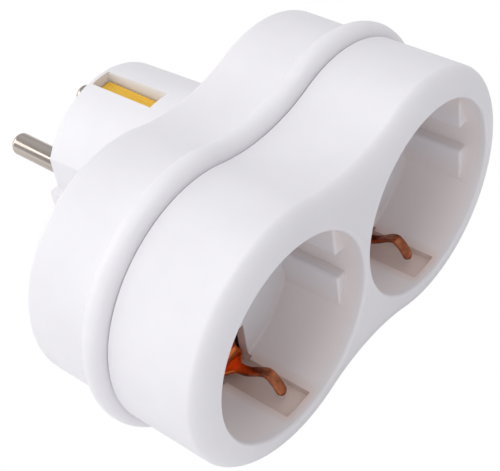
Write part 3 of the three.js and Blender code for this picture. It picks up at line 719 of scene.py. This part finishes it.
def earth_bow(material):
    """The plug's earth bow: cross strip and a contact strip with rounded edges in each channel."""
    half = BOW_STRIP_HALF
    low = CHANNEL_FLOOR + SEAM_GAP
    bow_y = REAR_FACE_Y + BOW_DEPTH

    def strip():
        body = block("strip", (-half, bow_y, low), (half, -CHANNEL_LIP - SEAM_GAP, low + METAL))
        bm = bmesh.new()
        bm.from_mesh(body.data)
        bmesh.ops.bevel(
            bm, geom=list(bm.edges), offset=BOW_EDGE * MM, segments=3, profile=0.5, affect="EDGES",
        )
        bm.to_mesh(body.data)
        bm.free()
        return body

    upper = strip()
    lower = mirrored(strip(), "Z")
    across = half - CROSS_INSET
    reach = low + CROSS_OVERLAP
    cross = block("cross", (-across, bow_y + CROSS_SETBACK, -reach), (across, bow_y + METAL, reach))
    bow = join(cross, upper, lower)
    bow.name = "earth_bow_looks"
    return finished(smooth(bow), ["earth_bow"], material)


def housing_screw(side, node, material):
    """Housing screw with a rounded slotted head, sunk in the rear face."""
    under = REAR_FACE_Y - SCREW_SINK + SEAM_GAP
    top = under + SCREW_HEAD_HEIGHT
    tip = behind_front(FLOOR_BACK + SCREW_TIP_GAP)
    rounding = arc(
        SCREW_HEAD_RADIUS - SCREW_HEAD_EDGE, top - SCREW_HEAD_EDGE, SCREW_HEAD_EDGE, 0, math.pi / 2, steps=6,
    )
    profile = [
        (0, tip), (SCREW_RADIUS, tip), (SCREW_RADIUS, under), (SCREW_HEAD_RADIUS, under),
        *rounding, (0, top),
    ]
    screw = turned("screw", profile)
    reach = SCREW_HEAD_RADIUS + BOOLEAN_REACH
    half = SCREW_SLOT_WIDTH / 2
    cut(screw, block("slot", (-reach, top - SCREW_SLOT_DEPTH, -half), (reach, top + BOOLEAN_REACH, half)))
    moved(screw, side * SCREW_X)
    screw.name = f"{node}_looks"
    return finished(smooth(screw), [node], material)


# Materials

class Nodes:
    """A material's node tree, with short calls for the nodes used here."""

    def __init__(self, name):
        self.material = bpy.data.materials.new(name)
        self.material.use_nodes = True
        self.tree = self.material.node_tree
        self.shader = self.tree.nodes["Principled BSDF"]
        self.place = self.tree.nodes.new("ShaderNodeTexCoord").outputs["Object"]

    def set(self, socket, value):
        """Sets a shader input to a constant or links it to another node's output."""
        target = self.shader.inputs[socket]
        if isinstance(value, bpy.types.NodeSocket):
            self.tree.links.new(value, target)
        else:
            target.default_value = value

    def noise(self, scale, detail=3.0, roughness=0.5, stretch=(1, 1, 1)):
        """Noise with features of about 1 / scale metres."""
        mapping = self.tree.nodes.new("ShaderNodeMapping")
        mapping.inputs["Scale"].default_value = stretch
        self.tree.links.new(self.place, mapping.inputs["Vector"])
        node = self.tree.nodes.new("ShaderNodeTexNoise")
        node.inputs["Scale"].default_value = scale
        node.inputs["Detail"].default_value = detail
        node.inputs["Roughness"].default_value = roughness
        self.tree.links.new(mapping.outputs["Vector"], node.inputs["Vector"])
        return node.outputs["Fac"]

    def ramp(self, factor, *stops):
        """Colours or greys by factor, from (position, colour) stops."""
        node = self.tree.nodes.new("ShaderNodeValToRGB")
        elements = node.color_ramp.elements
        while len(elements) < len(stops):
            elements.new(0.5)
        for element, (position, colour) in zip(elements, stops):
            element.position = position
            shade = (colour,) * 3 if isinstance(colour, float) else colour
            element.color = (*shade, 1)
        self.tree.links.new(factor, node.inputs["Fac"])
        return node.outputs["Color"]

    def tint(self, factor, tone, colour):
        """Turns a tone into a plain colour as the factor goes from 0 to 1."""
        node = self.tree.nodes.new("ShaderNodeMix")
        node.data_type = "RGBA"
        inputs = {item.identifier: item for item in node.inputs}
        self.tree.links.new(factor, inputs["Factor_Float"])
        self.tree.links.new(tone, inputs["A_Color"])
        inputs["B_Color"].default_value = (*colour, 1)
        return next(item for item in node.outputs if item.identifier == "Result_Color")

    def math(self, operation, first, second=None):
        """One calculation on sockets or plain values."""
        node = self.tree.nodes.new("ShaderNodeMath")
        node.operation = operation
        for index, value in enumerate((first, second)):
            if isinstance(value, bpy.types.NodeSocket):
                self.tree.links.new(value, node.inputs[index])
            elif value is not None:
                node.inputs[index].default_value = value
        return node.outputs["Value"]

    def axes(self):
        """The place's X, Y and Z as separate values."""
        node = self.tree.nodes.new("ShaderNodeSeparateXYZ")
        self.tree.links.new(self.place, node.inputs["Vector"])
        return [node.outputs[axis] for axis in "XYZ"]

    def rise(self, value, low, high):
        """0 below a low value in millimetres, 1 above a high one."""
        node = self.tree.nodes.new("ShaderNodeMapRange")
        node.inputs["From Min"].default_value = low * MM
        node.inputs["From Max"].default_value = high * MM
        self.tree.links.new(value, node.inputs["Value"])
        return node.outputs["Result"]

    def bump(self, height, strength, distance):
        """Lets a height move the surface by up to a distance in metres."""
        node = self.tree.nodes.new("ShaderNodeBump")
        node.inputs["Strength"].default_value = strength
        node.inputs["Distance"].default_value = distance
        self.tree.links.new(height, node.inputs["Height"])
        self.tree.links.new(node.outputs["Normal"], self.shader.inputs["Normal"])


# Where the white is painted warmer, in millimetres: painted bounce light on the wells' walls, and painted
# copper reflection and painted shade beside their clip slots.
# Each pair holds the two ends of a fade: behind the front face, inside and outside the well's wall, and
# beside a clip slot. The last value is the fade behind the floor.
PAINTED_BOUNCE_DEPTH = (0.4, 2.5)
PAINTED_BOUNCE_INSIDE = (17.5, 19.2)
PAINTED_BOUNCE_OUTSIDE = (21.5, 22.0)
PAINTED_COPPER_REFLECTION_SLOT = (3.0, 5.5)
PAINTED_BOUNCE_END = 0.1


def white_plastic():
    """Semi-matte moulded plastic: fine grain, faint cloudiness, painted warm bounce light in the wells, and
    painted copper reflection and painted shade in their clip slots.
    """
    nodes = Nodes("white_plastic")
    x, y, z = nodes.axes()
    cloud = nodes.noise(scale=90, detail=4, roughness=0.55)
    tone = nodes.ramp(cloud, (0.3, (0.795, 0.788, 0.808)), (0.7, (0.825, 0.818, 0.838)))
    # The masks below place painted bounce light on the wells' walls, and painted copper reflection and
    # painted shade beside their clip slots.
    across = nodes.math("SUBTRACT", nodes.math("ABSOLUTE", x), WELL_X * MM)
    radius = nodes.math("SQRT", nodes.math(
        "ADD", nodes.math("MULTIPLY", across, across), nodes.math("MULTIPLY", z, z),
    ))
    started = nodes.rise(y, *[behind_front(depth) for depth in PAINTED_BOUNCE_DEPTH])
    ended = nodes.rise(y, behind_front(FLOOR_BACK), behind_front(FLOOR_BACK + PAINTED_BOUNCE_END))
    inside = nodes.math("SUBTRACT", started, ended)
    ring = nodes.math("SUBTRACT", nodes.rise(radius, *PAINTED_BOUNCE_INSIDE), nodes.rise(radius, *PAINTED_BOUNCE_OUTSIDE))
    wall = nodes.math("MULTIPLY", inside, ring)
    near = nodes.math("SUBTRACT", 1.0, nodes.rise(nodes.math("ABSOLUTE", across), *PAINTED_COPPER_REFLECTION_SLOT))
    slot = nodes.math("MULTIPLY", wall, near)
    # Painted bounce light: the wells' walls turn a warm white.
    tone = nodes.tint(wall, tone, (0.85, 0.80, 0.79))
    # Painted copper reflection and painted shade: beside the clip slots the white turns a darker warm brown.
    tone = nodes.tint(slot, tone, (0.80, 0.67, 0.61))
    nodes.set("Base Color", tone)
    grain = nodes.noise(scale=3800, detail=2, roughness=0.6)
    nodes.set("Roughness", nodes.ramp(nodes.noise(scale=700), (0.3, 0.40), (0.7, 0.50)))
    nodes.set("IOR", 1.47)
    nodes.set("Subsurface Weight", 0.12)
    nodes.set("Subsurface Radius", (1.0, 0.85, 0.75))
    nodes.set("Subsurface Scale", 0.0008)
    nodes.bump(grain, strength=0.12, distance=0.00004)
    return nodes.material


def nickel():
    """Nickel plated pin, drawn lengthwise, with faint insertion marks."""
    nodes = Nodes("nickel")
    streaks = nodes.noise(scale=900, roughness=0.6, stretch=(1, 0.03, 1))
    nodes.set("Base Color", nodes.ramp(streaks, (0.3, (0.40, 0.35, 0.31)), (0.7, (0.62, 0.56, 0.50))))
    nodes.set("Metallic", 1.0)
    nodes.set("Roughness", nodes.ramp(nodes.noise(scale=400), (0.3, 0.08), (0.7, 0.15)))
    nodes.bump(streaks, strength=0.15, distance=0.00002)
    return nodes.material


# Depths between which the brackets turn from the arms' brown to the foot's bright orange.
FOOT_BRIGHT = (14.0, 16.5)


def copper():
    """Tarnished copper alloy spring strip: brown to black on the arms, bright orange at the foot."""
    nodes = Nodes("copper")
    blotch = nodes.noise(scale=350, detail=5, roughness=0.6)
    tone = nodes.ramp(
        blotch, (0.3, (0.12, 0.035, 0.018)), (0.5, (0.32, 0.10, 0.045)), (0.7, (0.62, 0.22, 0.10)),
    )
    foot = nodes.rise(nodes.axes()[1], *[behind_front(depth) for depth in FOOT_BRIGHT])
    tone = nodes.tint(foot, tone, (0.85, 0.22, 0.06))
    nodes.set("Base Color", tone)
    nodes.set("Metallic", 0.95)
    nodes.set("Roughness", nodes.ramp(blotch, (0.3, 0.30), (0.7, 0.18)))
    nodes.bump(nodes.noise(scale=1500), strength=0.15, distance=0.00003)
    return nodes.material


def brass():
    """Rolled brass strip with lengthwise drawing lines."""
    nodes = Nodes("brass")
    lines = nodes.noise(scale=1200, roughness=0.6, stretch=(1, 0.04, 1))
    nodes.set("Base Color", nodes.ramp(lines, (0.3, (0.92, 0.52, 0.04)), (0.7, (0.98, 0.64, 0.09))))
    nodes.set("Metallic", 0.55)
    nodes.set("Roughness", nodes.ramp(nodes.noise(scale=500), (0.3, 0.24), (0.7, 0.38)))
    nodes.bump(lines, strength=0.15, distance=0.00002)
    return nodes.material


def steel():
    """Zinc plated screw."""
    nodes = Nodes("steel")
    cloud = nodes.noise(scale=600, detail=4)
    nodes.set("Base Color", nodes.ramp(cloud, (0.3, (0.42, 0.43, 0.44)), (0.7, (0.58, 0.59, 0.60))))
    nodes.set("Metallic", 1.0)
    nodes.set("Roughness", nodes.ramp(cloud, (0.3, 0.28), (0.7, 0.42)))
    return nodes.material


# Stage, light and camera

# Space between the part and the floor, in metres.
FLOOR_GAP = 0.0001


def stage():
    """Plain white floor under the part, seen by the camera as the photograph's white ground."""
    floor_z = -(LOBE_RADIUS + BEAD_STAND_OUT) * MM - FLOOR_GAP
    bpy.ops.mesh.primitive_plane_add(size=4, location=(0, 0, floor_z))
    floor = bpy.context.object
    floor.name = "floor"
    material = bpy.data.materials.new("floor")
    material.use_nodes = True
    tree = material.node_tree
    shader = tree.nodes["Principled BSDF"]
    shader.inputs["Base Color"].default_value = (0.9, 0.9, 0.91, 1)
    shader.inputs["Roughness"].default_value = 0.9
    glow = tree.nodes.new("ShaderNodeEmission")
    path = tree.nodes.new("ShaderNodeLightPath")
    mix = tree.nodes.new("ShaderNodeMixShader")
    tree.links.new(path.outputs["Is Camera Ray"], mix.inputs["Fac"])
    tree.links.new(shader.outputs["BSDF"], mix.inputs[1])
    tree.links.new(glow.outputs["Emission"], mix.inputs[2])
    tree.links.new(mix.outputs["Shader"], tree.nodes["Material Output"].inputs["Surface"])
    floor.data.materials.append(material)


WORLD_LIGHT = 0.60


def world():
    """Even studio surround: white for the camera, softer and slightly cool as light."""
    surround = bpy.data.worlds.new("surround")
    bpy.context.scene.world = surround
    surround.use_nodes = True
    tree = surround.node_tree
    tree.nodes.clear()
    path = tree.nodes.new("ShaderNodeLightPath")
    seen = tree.nodes.new("ShaderNodeBackground")
    light = tree.nodes.new("ShaderNodeBackground")
    light.inputs["Color"].default_value = (0.975, 0.965, 1.0, 1)
    light.inputs["Strength"].default_value = WORLD_LIGHT
    mix = tree.nodes.new("ShaderNodeMixShader")
    out = tree.nodes.new("ShaderNodeOutputWorld")
    tree.links.new(path.outputs["Is Camera Ray"], mix.inputs["Fac"])
    tree.links.new(light.outputs["Background"], mix.inputs[1])
    tree.links.new(seen.outputs["Background"], mix.inputs[2])
    tree.links.new(mix.outputs["Shader"], out.inputs["Surface"])


# Each lamp's place in metres, size in metres, power in watts and colour.
LAMPS = {
    "left": ((-0.75, -0.1, 0.15), 0.6, 1.3, (1, 1, 1)),
    "top": ((-0.1, 0.0, 0.8), 0.6, 2.4, (1, 1, 1)),
    "back": ((-0.3, 0.7, 0.3), 0.5, 1.6, (1, 1, 1)),
}


def lamp(name, place, size, power, colour):
    """A square area lamp at a place in metres, aimed at the middle of the housing."""
    light = bpy.data.lights.new(name, "AREA")
    light.size = size
    light.energy = power
    light.color = colour
    holder = bpy.data.objects.new(name, light)
    bpy.context.scene.collection.objects.link(holder)
    holder.location = place
    aim = Vector((0, behind_front(AIM_DEPTH) * MM, 0)) - Vector(place)
    holder.rotation_euler = aim.to_track_quat("-Z", "Y").to_euler()


CAMERA_AZIMUTH = -44.557
CAMERA_ELEVATION = 43.577
CAMERA_ROLL = -9.306
CAMERA_DISTANCE = 222.127
CAMERA_FOCUS = 1193.883
CAMERA_SHIFT = (5.643, 1.998)
PHOTO_WIDTH = 500
SENSOR_WIDTH = 36.0


def camera():
    """Camera fitted to the photograph: angles in degrees, distances in millimetres, focus in pixels."""
    azimuth, elevation, roll = (math.radians(v) for v in (CAMERA_AZIMUTH, CAMERA_ELEVATION, CAMERA_ROLL))
    back = Vector((
        math.sin(azimuth) * math.cos(elevation),
        -math.cos(azimuth) * math.cos(elevation),
        math.sin(elevation),
    ))
    level = Vector((math.cos(azimuth), math.sin(azimuth), 0))
    upright = back.cross(level)
    right = math.cos(roll) * level + math.sin(roll) * upright
    up = -math.sin(roll) * level + math.cos(roll) * upright
    target = Vector((0, behind_front(AIM_DEPTH), 0))
    place = target + CAMERA_DISTANCE * back - CAMERA_SHIFT[0] * right - CAMERA_SHIFT[1] * up
    data = bpy.data.cameras.new("camera")
    data.sensor_width = SENSOR_WIDTH
    data.lens = SENSOR_WIDTH * CAMERA_FOCUS / PHOTO_WIDTH
    data.clip_start = 0.01
    data.clip_end = 20
    view = bpy.data.objects.new("camera", data)
    bpy.context.scene.collection.objects.link(view)
    turn = Matrix((right, up, back)).transposed()
    view.matrix_world = Matrix.Translation(place * MM) @ turn.to_4x4()
    bpy.context.scene.camera = view


def main():
    looks = {
        "white_plastic": white_plastic(),
        "nickel": nickel(),
        "brass": brass(),
        "copper": copper(),
        "steel": steel(),
    }
    slots = {row["node"]: row["material_slot"] for row in frame["record"]["subparts"]}
    for node, piece in frame["nodes"].items():
        piece.data.materials.clear()
        piece.data.materials.append(looks[slots[node]])
    front_shell(looks["white_plastic"])
    rear_shell(looks["white_plastic"])
    plug_pin(-1, "pin_line", looks["nickel"])
    plug_pin(1, "pin_neutral", looks["nickel"])
    earth_bracket(-1, "earth_bracket_left", looks["copper"])
    earth_bracket(1, "earth_bracket_right", looks["copper"])
    earth_bow(looks["brass"])
    housing_screw(-1, "housing_screw_left", looks["steel"])
    housing_screw(1, "housing_screw_right", looks["steel"])
    stage()
    world()
    for name, (place, size, power, colour) in LAMPS.items():
        lamp(name, place, size, power, colour)
    camera()
    bpy.context.scene.view_settings.view_transform = "Standard"


main()
bpy.context.view_layer.update()
